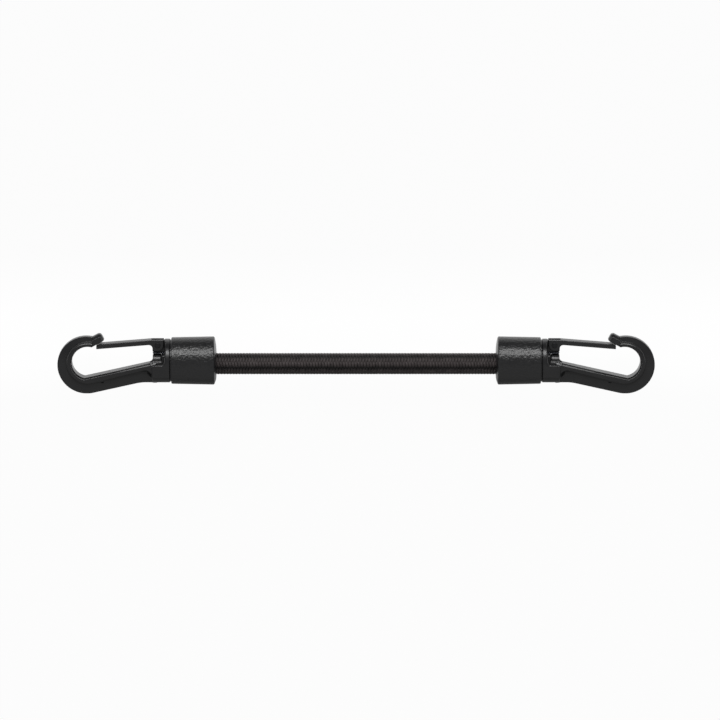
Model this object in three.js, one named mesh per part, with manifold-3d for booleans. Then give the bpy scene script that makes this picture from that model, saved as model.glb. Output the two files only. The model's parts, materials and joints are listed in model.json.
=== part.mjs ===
// Bungee cord: an elastic cord with a swivelling snap hook at each end.
// Millimetres, +Z up. X runs along the cord and Y points to the side of the hooks' gates.
// The hooks lie flat, in the plane of the cord's axis, and the part rests on its two end caps.
// Both ends are the same set of mouldings. An end is drawn once, with U along the cord outwards from
// the middle, V towards the gate and N square to the hook, and is turned about Y for the other side.

import * as THREE from 'three';
import { mergeVertices } from 'three/addons/utils/BufferGeometryUtils.js';
import Module from 'manifold-3d';

const wasm = await Module();
wasm.setup();

// Cord: a braided sheath round a bundle of rubber strands
const cordDiameter = 8;
const cordFreeLength = 109;
const cordDrop = 1;
const sheathWall = 0.7;
const strandGap = 0.3;
const coreClearance = 0.25;
const strandsRoundTheMiddle = 6;

// End cap: a tapered cup, domed where the cord goes in and open towards the hook
const capLength = 17.5;
const capCordDiameter = 18.9;
const capHookDiameter = 18.2;
const capCrown = 0.6;
const capCordRim = 0.7;
const capHookRim = 0.4;
const capBore = 14.6;
const capEndWall = 3.4;
const cordHoleClearance = 0.2;

// Ferrule crimped round the end of the cord
const ferruleLength = 6;
const ferruleWall = 1.7;
const ferruleClearance = 0.15;
const crimpDepth = 0.4;
const crimpCount = 3;
const cordTail = 1.2;

// Swivel stud: a plug snapped into the cap, with a spigot and a split post that carry the hook
const plugThickness = 3;
const snapRib = 0.2;
const snapRibWidth = 0.6;
const studDiameter = 4.3;
const studHeadDiameter = 5.6;
const studHeadSetback = 0.15;
const studHeadChamfer = 0.4;
const studSlit = 0.8;
const studClearance = 0.2;
const spigotDiameter = 13;
const spigotDepth = 0.2;

// Hook body: a round neck, a spine, and a ring that ends in a lip over the gate
const swivelGap = 0.4;
const neckDiameter = 17.1;
const neckLength = 7;
const neckRim = 0.5;
const studWall = 3.5;
const studWallWidth = 6.8;
const cradleTop = 0.3;
const cradleCorner = 1.2;
const eyeLength = 31.4;
const eyeRadius = 6.35;
const eyeDrop = 0.35;
const seatHalfAngle = 7.5;
const tipWall = 5.67;
const crownWall = 3.8;
const heelWall = 6.32;
const spineRootDrop = 0.54;
const spineRise = 0.65;
const spineFillet = 1.5;
const spineDepth = 8.5;
const kneeDistance = 4.4;
const beadSetback = 0.4;
const beadWidth = 1.65;
const beadThickness = 8;
const beadEdge = 0.5;
const flangeThickness = 4.6;
const rimThickness = 2.4;
const rimReach = 3.6;
const gussetLength = 3.4;
const gussetDrop = 6;
const lipLength = 5.5;
const lipThickness = 3.2;
const lipWidth = 5.4;
const lipAngle = 28;
const lipSetback = 3.24;
const lipRise = 8.62;
const lipCorner = 0.4;
const lipTopCorner = 0.3;
const lipBevel = 1;
const lipBevelDepth = 1.6;
const ringEndSetback = 1.7;

// Gate: a thin lever with a forked root on a pin, closed by a leaf spring
const pivotInset = 2.1;
const pinDiameter = 2.1;
const pinProud = 0.15;
const pinClearance = 0.08;
const gateWidth = 3.8;
const gateReach = 3.86;
const gateBevel = 1.4;
const gateArmThickness = 1.9;
const gateTop = 8.58;
const gateFillet = 1.6;
const gateCorner = 0.4;
const lipGap = 0.5;
const rootRadius = 2.4;
const rootFrontInset = 0.1;
const forkSlot = 2;
const forkClearance = 0.6;
const webThickness = 1.4;
const webRadius = 1.8;
const leafClearance = 0.4;
const leafThickness = 0.3;
const leafWidth = 3.6;
const leafAnchor = 0.8;
const leafReach = 4.6;

// Gaps
const runningGap = 0.3;

// Facets
const roundSides = 32;
const smallSides = 20;
const cordSides = 12;
const strandSides = 8;
const arcStep = 9;
const cordStepDiameters = 2.5;

// The core: a middle strand with others round it, so three across
const cordRadius = cordDiameter / 2;
const boreAcrossFlats = 2 * (cordRadius - sheathWall) * Math.cos(Math.PI / cordSides);
const coreDiameter = boreAcrossFlats - 2 * coreClearance;
const strandDiameter = (coreDiameter - 2 * strandGap) / 3;

// Places along U, from the middle of the cord outwards
const capFace = cordFreeLength / 2;
const capMouth = capFace + capLength;
const capFloor = capFace + capEndWall;
const neckStart = capMouth + swivelGap;
const neckEnd = neckStart + neckLength;
const studSeat = neckStart + studWall;
const headStart = studSeat + runningGap;
const headEnd = neckEnd - studHeadSetback;
const ferruleStart = capFloor + runningGap;
const ferruleEnd = ferruleStart + ferruleLength;
const cordEnd = ferruleEnd + cordTail;
const plugStart = capMouth - plugThickness;

// The hook's circles and points in the UV plane
const neckRadius = neckDiameter / 2;
const ringRadius = eyeRadius + (crownWall + heelWall) / 2;
const eye = new THREE.Vector2(neckEnd + eyeLength - eyeRadius, -eyeDrop);
const ring = new THREE.Vector2(
  eye.x + eyeRadius + tipWall - ringRadius,
  eye.y + (crownWall - heelWall) / 2,
);
const leafMiddle = studHeadDiameter / 2 + leafClearance + leafThickness / 2;
const rootUnderside = leafMiddle + leafThickness / 2 + 2 * runningGap;
const pivot = new THREE.Vector2(neckEnd - pivotInset, rootUnderside + rootRadius);
const gateSeat = pivot.x - rootRadius - runningGap;
const lipCentre = new THREE.Vector2(eye.x - lipSetback, lipRise);
const lipTurn = THREE.MathUtils.degToRad(lipAngle);
const lipAlong = new THREE.Vector2(Math.cos(lipTurn), -Math.sin(lipTurn));
const lipUp = new THREE.Vector2(Math.sin(lipTurn), Math.cos(lipTurn));

const black = (name, roughness) => new THREE.MeshStandardMaterial({
  name,
  color: 0x202022,
  roughness,
  metalness: 0,
});
const steel = (name, color) => new THREE.MeshStandardMaterial({
  name,
  color,
  roughness: 0.35,
  metalness: 1,
});
const hookPlastic = black('hook_plastic', 0.45);
const capPlastic = black('cap_plastic', 0.6);
const braidedSheath = new THREE.MeshStandardMaterial({ name: 'braid', color: 0x2c2827, roughness: 0.85 });
const naturalRubber = new THREE.MeshStandardMaterial({ name: 'rubber', color: 0xb9a682, roughness: 0.7 });
const pinSteel = steel('pin_steel', 0x77787a);
const springSteel = steel('spring_steel', 0x4c4f55);
const ferruleMetal = steel('ferrule_metal', 0xb4b6b8);

const point = (u, v) => new THREE.Vector2(u, v);
const radians = THREE.MathUtils.degToRad;

function onCircle(centre, radius, angle) {
  return point(
    centre.x + radius * Math.cos(radians(angle)),
    centre.y + radius * Math.sin(radians(angle)),
  );
}

// Points of an arc, both ends included, no further apart than the step
function arc(centre, radius, from, to, step = arcStep) {
  const count = Math.max(2, Math.ceil(Math.abs(to - from) / step));
  return Array.from(
    { length: count + 1 },
    (_, i) => onCircle(centre, radius, from + (to - from) * i / count),
  );
}

// Angle at which a line from a point touches the lower side of a circle
function lowerTangent(from, centre, radius) {
  const away = from.clone().sub(centre);
  const angle = away.angle() + Math.acos(radius / away.length());
  return THREE.MathUtils.radToDeg(angle) - 360;
}

// Height of the straight line through two points at a given U
function heightOnLine(a, b, u) {
  return a.y + (b.y - a.y) * (u - a.x) / (b.x - a.x);
}

function bend(from, control, to, steps) {
  return new THREE.QuadraticBezierCurve(from, control, to).getPoints(steps);
}

function toSolid(geometry) {
  const bare = geometry.clone();
  bare.deleteAttribute('normal');
  bare.deleteAttribute('uv');
  const merged = mergeVertices(bare, 1e-5);
  return new wasm.Manifold(new wasm.Mesh({
    numProp: 3,
    vertProperties: new Float32Array(merged.attributes.position.array),
    triVerts: new Uint32Array(merged.index.array),
  }));
}

function toGeometry(solid) {
  const { vertProperties, triVerts } = solid.getMesh();
  const geometry = new THREE.BufferGeometry();
  geometry.setAttribute('position', new THREE.BufferAttribute(vertProperties, 3));
  geometry.setIndex(new THREE.BufferAttribute(triVerts, 1));
  return geometry;
}

// A plate with a UV outline, as thick as given and centred on the hook's plane, with a bevelled edge
function plate(outline, thickness, bevel = 0, bevelDepth = bevel) {
  const geometry = new THREE.ExtrudeGeometry(new THREE.Shape(outline), {
    depth: thickness - 2 * bevelDepth,
    bevelEnabled: bevel > 0,
    bevelThickness: bevelDepth,
    bevelSize: bevel,
    bevelOffset: -bevel,
    bevelSegments: 1,
  });
  return geometry.translate(0, 0, bevelDepth - thickness / 2);
}

// A solid of revolution about the cord's axis from points (U, radius), with a flat facing down
function turned(profile, sides) {
  const points = profile.map(([u, radius]) => point(radius, u));
  const geometry = new THREE.LatheGeometry(points, sides, Math.PI / sides);
  return geometry.rotateZ(-Math.PI / 2);
}

// A rod square to the hook's plane
function crossRod(centre, diameter, length) {
  const geometry = new THREE.CylinderGeometry(diameter / 2, diameter / 2, length, smallSides);
  return geometry.rotateX(Math.PI / 2).translate(centre.x, centre.y, 0);
}

function block(low, high) {
  const size = high.clone().sub(low);
  const middle = low.clone().add(high).divideScalar(2);
  return new THREE.BoxGeometry(size.x, size.y, size.z).translate(middle.x, middle.y, middle.z);
}

function rectangleOutline(centre, along, up, length, height, corner) {
  const corners = [[-1, -1, 180], [1, -1, 270], [1, 1, 0], [-1, 1, 90]];
  const turn = THREE.MathUtils.radToDeg(Math.atan2(up.y, up.x)) - 90;
  return corners.flatMap(([a, b, start]) => {
    const middle = centre.clone()
      .addScaledVector(along, a * (length / 2 - corner))
      .addScaledVector(up, b * (height / 2 - corner));
    return arc(middle, corner, start + turn, start + turn + 90, 45);
  });
}

function capGeometry() {
  const hole = cordRadius + cordDrop + cordHoleClearance;
  const bore = capBore / 2;
  const groove = bore + snapRib + runningGap;
  const big = capCordDiameter / 2;
  const small = capHookDiameter / 2;
  const rimStart = capFace + capCrown;
  const ribMiddle = plugStart + plugThickness / 2;
  const grooveHalf = snapRibWidth / 2 + runningGap;
  const rim = arc(point(rimStart + capCordRim, big - capCordRim), capCordRim, 180, 90, 30);
  const mouthRim = arc(point(capMouth - capHookRim, small - capHookRim), capHookRim, 90, 0, 45);
  const dome = bend(
    point(capFace, hole),
    point(capFace, (hole + big) / 2),
    point(rimStart, big - capCordRim),
    4,
  ).slice(0, -1);
  const outside = [...dome, ...rim, ...mouthRim].map((p) => [p.x, p.y]);
  const inside = [
    [capMouth, bore],
    [ribMiddle + grooveHalf, bore],
    [ribMiddle + grooveHalf - snapRib, groove],
    [ribMiddle - grooveHalf, groove],
    [ribMiddle - grooveHalf, bore],
    [capFloor, bore],
    [capFloor, hole],
    [capFace, hole],
  ];
  return turned([...outside, ...inside], roundSides);
}

function ferruleGeometry() {
  const inner = cordRadius + ferruleClearance;
  const outer = inner + ferruleWall;
  const pitch = ferruleLength / crimpCount;
  const crimps = Array.from({ length: crimpCount }, (_, i) => {
    const middle = ferruleStart + pitch * (i + 0.5);
    return [[middle - pitch / 4, outer], [middle, outer - crimpDepth], [middle + pitch / 4, outer]];
  }).flat();
  return turned([
    [ferruleStart, inner],
    [ferruleStart, outer],
    ...crimps,
    [ferruleEnd, outer],
    [ferruleEnd, inner],
    [ferruleStart, inner],
  ], smallSides);
}

function studGeometry() {
  const plug = capBore / 2 - runningGap;
  const rib = capBore / 2 + snapRib;
  const ribMiddle = plugStart + plugThickness / 2;
  const spigot = spigotDiameter / 2;
  const post = studDiameter / 2;
  const head = studHeadDiameter / 2;
  const body = toSolid(turned([
    [plugStart, 0],
    [plugStart, plug],
    [ribMiddle - snapRibWidth / 2, plug],
    [ribMiddle - snapRibWidth / 2, rib],
    [ribMiddle + snapRibWidth / 2 - snapRib, rib],
    [ribMiddle + snapRibWidth / 2, plug],
    [capMouth, plug],
    [capMouth, spigot],
    [neckStart + spigotDepth, spigot],
    [neckStart + spigotDepth, post],
    [headStart, post],
    [headStart, head],
    [headEnd - studHeadChamfer, head],
    [headEnd, head - studHeadChamfer],
    [headEnd, 0],
  ], smallSides));
  const slit = toSolid(block(
    new THREE.Vector3(studSeat, -studSlit / 2, -head - 1),
    new THREE.Vector3(headEnd + 1, studSlit / 2, head + 1),
  ));
  return toGeometry(body.subtract(slit));
}

// The inner edge of the hook: from the lip round the eye to a blunt corner, where the spine stands a
// little above the eye's lowest side, and along the spine to a fillet at the neck
function innerEdge(rootU, setback) {
  const radius = eyeRadius + setback;
  const rootPoint = point(neckEnd, -spineRootDrop - setback);
  const turn = THREE.MathUtils.radToDeg(Math.acos((radius - spineRise) / radius));
  const corner = lowerTangent(rootPoint, eye, radius - spineRise) + turn;
  const start = THREE.MathUtils.radToDeg(Math.acos(-ringEndSetback / radius));
  const filletU = neckEnd + spineFillet;
  const filletTop = point(neckEnd, rootPoint.y + spineFillet);
  const filletStart = point(filletU, heightOnLine(onCircle(eye, radius, corner), rootPoint, filletU));
  return [
    ...arc(eye, radius, start, seatHalfAngle),
    ...arc(eye, radius, -seatHalfAngle, corner),
    ...bend(filletStart, rootPoint, filletTop, 4),
    point(rootU, filletTop.y),
  ];
}

// The outer edge of the hook: along the spine from the neck and round the ring
function outerEdge(rootU, end) {
  const knee = point(neckEnd + kneeDistance, -spineDepth);
  const touch = lowerTangent(knee, ring, ringRadius);
  return [point(rootU, knee.y), knee, ...arc(ring, ringRadius, touch, end)];
}

// The flange thins towards its outer edge, so it is cut to a plate with a wide bevel there
function flangeSolid(rootU) {
  const end = THREE.MathUtils.radToDeg(Math.acos((eye.x - ringEndSetback - ring.x) / ringRadius));
  const outline = [...outerEdge(rootU, end), ...innerEdge(rootU, 0)];
  const wideRootU = rootU - rimReach;
  const wideEdge = outerEdge(wideRootU, 2 * end - 90);
  const wideOutline = [...wideEdge, point(wideRootU, wideEdge.at(-1).y)];
  const thinning = (flangeThickness - rimThickness) / 2;
  return toSolid(plate(outline, flangeThickness))
    .intersect(toSolid(plate(wideOutline, flangeThickness, rimReach, thinning)));
}

// The bead follows the inner edge a little behind it, and widens into a gusset at the neck
function beadOutline(rootU) {
  const outerRadius = eyeRadius + beadSetback + beadWidth;
  const outerRoot = point(neckEnd, -spineRootDrop - beadSetback - beadWidth);
  const touch = lowerTangent(outerRoot, eye, outerRadius);
  const outerTouch = onCircle(eye, outerRadius, touch);
  const gussetStart = point(
    neckEnd + gussetLength,
    heightOnLine(outerTouch, outerRoot, neckEnd + gussetLength),
  );
  const gussetEnd = point(neckEnd, -gussetDrop);
  const end = THREE.MathUtils.radToDeg(Math.acos(-ringEndSetback / outerRadius));
  return [
    point(rootU, gussetEnd.y),
    ...bend(gussetEnd, point(neckEnd + gussetLength / 3, gussetStart.y + gussetLength / 6), gussetStart, 5),
    ...arc(eye, outerRadius, touch, end),
    ...innerEdge(rootU, beadSetback),
  ];
}

// The lip is bevelled over its top and its free end, and left square where the gate closes under it
function lipBevelOutline() {
  const shift = lipBevel + lipCorner;
  const centre = lipCentre.clone().addScaledVector(lipAlong, shift).addScaledVector(lipUp, -shift);
  const length = lipLength + 2 * shift;
  const height = lipThickness + 2 * shift;
  return rectangleOutline(centre, lipAlong, lipUp, length, height, lipBevel + lipTopCorner);
}

function lipSolid() {
  const square = rectangleOutline(lipCentre, lipAlong, lipUp, lipLength, lipThickness, lipCorner);
  return toSolid(plate(square, lipWidth))
    .intersect(toSolid(plate(lipBevelOutline(), lipWidth, lipBevel, lipBevelDepth)));
}

// What is cut from the neck's upper half: the gate's room, the window to the stud and the flats beside it
function neckCuts() {
  const past = neckRadius + 1;
  const wallTop = leafMiddle - leafThickness / 2 - runningGap;
  const corner = point(gateSeat + cradleCorner, cradleTop + cradleCorner);
  const end = neckEnd + 1;
  const gateRoom = [
    point(gateSeat, wallTop),
    point(end, wallTop),
    point(end, past),
    point(gateSeat, past),
  ];
  const window = [
    point(studSeat, cradleTop),
    point(end, cradleTop),
    point(end, past),
    point(studSeat, past),
  ];
  const flats = [
    point(gateSeat, past),
    ...arc(corner, cradleCorner, 180, 270, 30),
    point(end, cradleTop),
    point(end, past),
  ];
  const studWallBlock = block(
    new THREE.Vector3(neckStart, -past, -studWallWidth / 2),
    new THREE.Vector3(end + 1, past + 1, studWallWidth / 2),
  );
  return toSolid(plate(flats, 2 * past))
    .subtract(toSolid(studWallBlock))
    .add(toSolid(plate(gateRoom, 2 * past)))
    .add(toSolid(plate(window, 2 * past)));
}

// The web that carries the gate's pin, rounded about it and let into the neck's wall
function webOutline() {
  const back = (neckStart + gateSeat) / 2;
  const front = pivot.x + webRadius;
  return [
    point(back, 0),
    point(front, 0),
    ...arc(pivot, webRadius, 0, 90, 30),
    point(back, pivot.y + webRadius),
  ];
}

function leafSlot() {
  const half = leafThickness / 2 + runningGap / 2;
  return block(
    new THREE.Vector3(gateSeat - leafAnchor - runningGap, leafMiddle - half, -leafWidth / 2 - runningGap),
    new THREE.Vector3(gateSeat, leafMiddle + half, leafWidth / 2 + runningGap),
  );
}

function hookGeometry() {
  const past = neckRadius + 1;
  const rootU = neckEnd - spineFillet;
  const neck = toSolid(turned([
    [neckStart, 0],
    [neckStart, neckRadius - neckRim],
    [neckStart + neckRim, neckRadius],
    [neckEnd - neckRim, neckRadius],
    [neckEnd, neckRadius - neckRim],
    [neckEnd, 0],
  ], roundSides));
  const headPocket = turned([
    [studSeat, 0],
    [studSeat, studHeadDiameter / 2 + runningGap],
    [neckEnd, studHeadDiameter / 2 + runningGap],
    [neckEnd, 0],
  ], smallSides);
  const spigotEnd = neckStart + spigotDepth + runningGap;
  const studHole = turned([
    [neckStart - 1, 0],
    [neckStart - 1, spigotDiameter / 2 + runningGap],
    [spigotEnd, spigotDiameter / 2 + runningGap],
    [spigotEnd, studDiameter / 2 + studClearance],
    [headEnd, studDiameter / 2 + studClearance],
    [headEnd, 0],
  ], smallSides);
  const solid = neck
    .subtract(neckCuts())
    .add(flangeSolid(rootU))
    .add(toSolid(plate(beadOutline(rootU), beadThickness, beadEdge)))
    .add(lipSolid())
    .add(toSolid(plate(webOutline(), webThickness)))
    .subtract(toSolid(headPocket))
    .subtract(toSolid(studHole))
    .subtract(toSolid(leafSlot()))
    .subtract(toSolid(crossRod(pivot, pinDiameter + 2 * pinClearance, 2 * past)));
  return toGeometry(solid);
}

// The gate's arm runs from the neck to the lip, and its tip is bevelled to lie under the lip
function gateOutline() {
  const underLip = lipCentre.clone().addScaledVector(lipUp, -lipThickness / 2 - lipGap);
  const tipTop = underLip.clone().addScaledVector(lipAlong, gateReach - lipLength / 2);
  const bevelStart = tipTop.clone().addScaledVector(lipAlong, -gateBevel);
  const topStart = point(neckEnd, gateTop);
  const along = bevelStart.clone().sub(topStart).normalize();
  const bottomStart = point(neckEnd, gateTop - gateArmThickness / along.x);
  const bottomAt = (u) => heightOnLine(bottomStart, bottomStart.clone().add(along), u);
  const rootFront = neckEnd - rootFrontInset;
  const filletEnd = point(rootFront + gateFillet, bottomAt(rootFront + gateFillet));
  const filletStart = point(rootFront, filletEnd.y - gateFillet);
  const fillet = bend(filletStart, point(rootFront, filletEnd.y), filletEnd, 4);
  const tipCorner = bend(
    point(tipTop.x - gateCorner, bottomAt(tipTop.x - gateCorner)),
    point(tipTop.x, bottomAt(tipTop.x)),
    point(tipTop.x, bottomAt(tipTop.x) + gateCorner),
    2,
  );
  return [
    point(rootFront, rootUnderside),
    ...fillet,
    ...tipCorner,
    tipTop,
    bevelStart,
    topStart,
    point(pivot.x - rootRadius + gateCorner, gateTop),
    point(pivot.x - rootRadius, gateTop - gateCorner),
    ...arc(pivot, rootRadius, 180, 270, 22.5),
  ];
}

function gateGeometry() {
  const past = rootRadius + 1;
  const slot = block(
    new THREE.Vector3(pivot.x - past, pivot.y - past, -forkSlot / 2),
    new THREE.Vector3(pivot.x + webRadius + forkClearance, pivot.y + past, forkSlot / 2),
  );
  const solid = toSolid(plate(gateOutline(), gateWidth))
    .subtract(toSolid(slot))
    .subtract(toSolid(crossRod(pivot, pinDiameter + 2 * pinClearance, 2 * gateWidth)));
  return toGeometry(solid);
}

// A flat strip let into the neck's wall, with a finger on each side of the web that curls up to the gate
function springGeometry() {
  const half = leafThickness / 2;
  const start = gateSeat - leafAnchor;
  const end = gateSeat + leafReach;
  const curl = end - 2 * leafThickness;
  const strip = plate([
    point(start, leafMiddle - half),
    ...bend(point(curl, leafMiddle - half), point(end, leafMiddle - half), point(end, leafMiddle), 3),
    point(end, leafMiddle + half + runningGap),
    point(end - leafThickness, leafMiddle + half + runningGap),
    point(curl - half, leafMiddle + half),
    point(start, leafMiddle + half),
  ], leafWidth);
  const webGap = webThickness / 2 + runningGap;
  const slit = block(
    new THREE.Vector3(gateSeat - runningGap, leafMiddle - 1, -webGap),
    new THREE.Vector3(end + 1, leafMiddle + 1, webGap),
  );
  return toGeometry(toSolid(strip).subtract(toSolid(slit)));
}

function addPiece(group, name, geometry, material) {
  const mesh = new THREE.Mesh(geometry, material);
  mesh.name = name;
  group.add(mesh);
}

// A straight length of cord or strand from end to end, as a tube or a rod, a little below the caps' axis
function cordLength(radius, bore, sides) {
  const ringOf = (r) => arc(point(0, 0), r, 180 / sides, 360 + 180 / sides, 360 / sides).slice(0, -1);
  const shape = new THREE.Shape(ringOf(radius));
  if (bore > 0) {
    shape.holes.push(new THREE.Path(ringOf(bore)));
  }
  const length = 2 * cordEnd;
  const geometry = new THREE.ExtrudeGeometry(shape, {
    depth: length,
    steps: Math.ceil(length / (cordStepDiameters * cordDiameter)),
    bevelEnabled: false,
  });
  return geometry.translate(0, 0, -length / 2).rotateY(Math.PI / 2).translate(0, -cordDrop, 0);
}

function cord() {
  const group = new THREE.Group();
  const strandRadius = strandDiameter / 2;
  const circle = strandDiameter + strandGap;
  addPiece(group, 'cord_sheath', cordLength(cordRadius, cordRadius - sheathWall, cordSides), braidedSheath);
  addPiece(group, 'rubber_strand_1', cordLength(strandRadius, 0, strandSides), naturalRubber);
  for (let i = 0; i < strandsRoundTheMiddle; i += 1) {
    const place = onCircle(point(0, 0), circle, 360 * i / strandsRoundTheMiddle);
    const geometry = cordLength(strandRadius, 0, strandSides).translate(0, place.x, place.y);
    addPiece(group, `rubber_strand_${i + 2}`, geometry, naturalRubber);
  }
  return group;
}

// One end of the bungee: the cap on the cord and the hook that swivels on it
function endSet(side) {
  const group = new THREE.Group();
  addPiece(group, `${side}_end_cap`, capGeometry(), capPlastic);
  addPiece(group, `${side}_cord_ferrule`, ferruleGeometry().translate(0, -cordDrop, 0), ferruleMetal);
  addPiece(group, `${side}_swivel_stud`, studGeometry(), hookPlastic);
  addPiece(group, `${side}_hook_body`, hookGeometry(), hookPlastic);
  addPiece(group, `${side}_gate`, gateGeometry(), hookPlastic);
  addPiece(group, `${side}_gate_pin`, crossRod(pivot, pinDiameter, gateWidth + 2 * pinProud), pinSteel);
  addPiece(group, `${side}_gate_spring`, springGeometry(), springSteel);
  return group;
}

// The origin is under the middle of the part, on the surface that the caps rest on
const lipTop = lipBevelOutline().reduce((top, p) => Math.max(top, p.y), 0);
const group = new THREE.Group();
group.name = 'bungee_cord';
group.position.set(
  0,
  -(lipTop + ring.y - ringRadius) / 2,
  capCordDiameter / 2 * Math.cos(Math.PI / roundSides),
);
group.add(cord());
group.add(endSet('right'));
const leftEnd = endSet('left');
leftEnd.rotation.y = Math.PI;
group.add(leftEnd);

export default group;
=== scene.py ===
"""A bungee cord with swivelling snap hooks: the moulded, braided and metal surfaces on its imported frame.

Sizes are in millimetres. An end of the bungee is drawn once, with U along the cord outwards from the
middle, V towards the gate and N square to the hook, and is turned about V for the other side.
"""

import json
import math

import bpy
import numpy as np
from mathutils import Matrix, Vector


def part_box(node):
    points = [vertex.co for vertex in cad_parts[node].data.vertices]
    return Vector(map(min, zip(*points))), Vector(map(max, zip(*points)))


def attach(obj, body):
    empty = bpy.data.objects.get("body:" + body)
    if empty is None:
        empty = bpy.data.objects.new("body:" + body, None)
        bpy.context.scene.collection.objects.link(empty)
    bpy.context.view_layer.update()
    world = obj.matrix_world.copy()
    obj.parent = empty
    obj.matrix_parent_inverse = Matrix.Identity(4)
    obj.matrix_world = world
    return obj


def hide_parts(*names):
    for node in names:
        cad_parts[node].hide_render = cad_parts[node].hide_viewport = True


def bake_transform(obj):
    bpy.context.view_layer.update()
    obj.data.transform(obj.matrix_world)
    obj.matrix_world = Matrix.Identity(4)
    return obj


MM = 0.001

# Photograph
IMAGE_WIDTH_PX = 720
MM_PER_PX = 0.39
MIDDLE_PX = 356.1
AXIS_PX = 360.45
CAMERA_TILT = 14
LENS_MM = 250
SENSOR_MM = 36

# Cord
CORD_DIAMETER = 8
CORD_SETTLING = 0.3
YARN_PROUD = 0.2
YARNS_EACH_WAY = 5
YARN_PITCH = 5.83
YARN_WIDTH = 1.14
YARN_THICKNESS = 0.52
YARN_LIFT = 0.24
BRAID_TURN = 14.5
GROOVE_DEPTH = 0.35
GROOVE_SHARPNESS = 4
CROSSING_SHARPNESS = 2
LINER_RADIUS = 3.05
STRAND_COUNT = 7

# End cap
CAP_CROWN = 0.6
CAP_CORD_RIM = 0.7
CAP_HOOK_RIM = 0.4
CAP_HOOK_DIAMETER = 18.2
CAP_BORE = 14.6
CAP_END_WALL = 3.4
CORD_HOLE_CLEARANCE = 0.2
CORD_HOLE_RIM = 0.4
SEAL_RADIUS = 8.2
SEAL_LENGTH = 0.3

# Ferrule
CRIMP_DEPTH = 0.4
CRIMP_COUNT = 3

# Swivel stud
PLUG_RADIUS = 7
PLUG_THICKNESS = 3
SPIGOT_RADIUS = 6.5
SPIGOT_DEPTH = 0.2
STUD_RADIUS = 2.15
STUD_HEAD_RADIUS = 2.8
STUD_HEAD_EDGE = 0.4
STUD_HEAD_GAP = 0.06
STUD_SLIT = 0.8
STUD_CLEARANCE = 0.2
RUNNING_GAP = 0.3
CUT_PAST = 1

# Hook
NECK_RADIUS = 8.55
NECK_LENGTH = 7
NECK_RIM = 0.5
STUD_WALL = 3.5
STUD_WALL_WIDTH = 6.8
CRADLE_TOP = 0.3
CRADLE_CORNER = 1.2
CRADLE_SLOPE = 0.3
EYE_LENGTH = 31.4
EYE_RADIUS = 6.35
EYE_DROP = 0.35
TIP_WALL = 5.67
CROWN_WALL = 3.8
HEEL_WALL = 6.32
SPINE_ROOT_DROP = 0.54
SPINE_RISE = 0.65
SPINE_DEPTH = 8.5
SPINE_FILLET = 1.5
KNEE_DISTANCE = 4.4
BEAD_SETBACK = 0.4
BEAD_WIDTH = 1.65
BEAD_THICKNESS = 8
BEAD_OUTER_EDGE = 1.1
FLANGE_THICKNESS = 4.6
RIM_THICKNESS = 2.4
RIM_REACH = 3.6
GUSSET_LENGTH = 3.4
GUSSET_DROP = 6
LIP_LENGTH = 5.5
LIP_THICKNESS = 3.2
LIP_WIDTH = 5.4
LIP_ANGLE = 28
LIP_SETBACK = 3.24
LIP_RISE = 8.62
LIP_CORNER = 0.4
LIP_TOP_CORNER = 0.3
LIP_BEVEL = 1
LIP_BEVEL_DEPTH = 1.6
LIP_EDGE = 0.25
LIP_END_ANGLE = 57
LIP_END_REACH = 1.45
RING_END_SETBACK = 1.7
FILLED_END_ANGLE = 135
MOULD_FILLET = 0.35
PARTING_WIDTH = 0.09
EDGE_HIGHLIGHT_GAIN = 12
DIMPLE_RADIUS = 0.9
DIMPLE_RISE = 0.55
DIMPLE_PLACE = (99.0, -8.0)

# Gate
GATE_WIDTH = 3.8
GATE_REACH = 3.86
GATE_BEVEL = 1.4
GATE_ARM = 1.9
GATE_TOP = 8.58
GATE_FILLET = 1.6
GATE_EDGE = 0.3
ROOT_RADIUS = 2.4
ROOT_INSET = 0.1
FORK_SLOT = 2
FORK_CLEARANCE = 0.6
WEB_THICKNESS = 1.4
WEB_RADIUS = 1.8
WEB_EDGE = 0.15
LIP_GAP = 0.5
PIN_RADIUS = 1.05
PIN_CLEARANCE = 0.04
PIN_PROUD = 0.15
PIN_EDGE = 0.1
LEAF_THICKNESS = 0.3
LEAF_WIDTH = 3.6
LEAF_ANCHOR = 0.8
LEAF_REACH = 4.6
LEAF_EDGE = 0.08

# Studio
FLOOR_SIZE = 12
# Width of the painted pool of light on the floor
PAINTED_POOL_WIDTH = 100
FLOOR_GLOW = 0.97

# Fineness of the meshes
YARN_SIDES = 6
STEPS_PER_CROSSING = 5
LINER_SIDES = 24
STRAND_SIDES = 20
CORD_RINGS = 60
PATH_POINTS = 40
STEPS_PER_CRIMP = 16
HOOK_STEP = 0.2
GATE_STEP = 0.14
STUD_STEP = 0.16
LEAF_STEP = 0.09
ARC_STEP = 3
BEND_STEPS = 10
SETTLING_PASSES = 2
LEAST_STEEPNESS = 0.2
CREASE_ANGLE = 40
TURNED_SIDES = 128

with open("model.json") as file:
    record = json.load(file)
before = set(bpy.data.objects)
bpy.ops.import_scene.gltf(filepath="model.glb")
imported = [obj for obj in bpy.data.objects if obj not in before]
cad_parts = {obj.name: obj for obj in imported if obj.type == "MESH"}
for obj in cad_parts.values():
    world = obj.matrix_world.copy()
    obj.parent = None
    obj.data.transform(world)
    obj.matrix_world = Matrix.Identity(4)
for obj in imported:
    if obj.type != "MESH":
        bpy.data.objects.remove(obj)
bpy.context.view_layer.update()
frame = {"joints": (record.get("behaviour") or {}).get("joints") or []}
joints = {joint["name"]: joint for joint in frame["joints"]}


def in_mm(place):
    return np.array(place) / MM


def node_box(node):
    """A node's lowest and highest corners, from the middle of the cord and the caps' axis."""
    return [in_mm(corner) - (0, AXIS_V, AXIS_N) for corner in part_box(node)]


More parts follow.
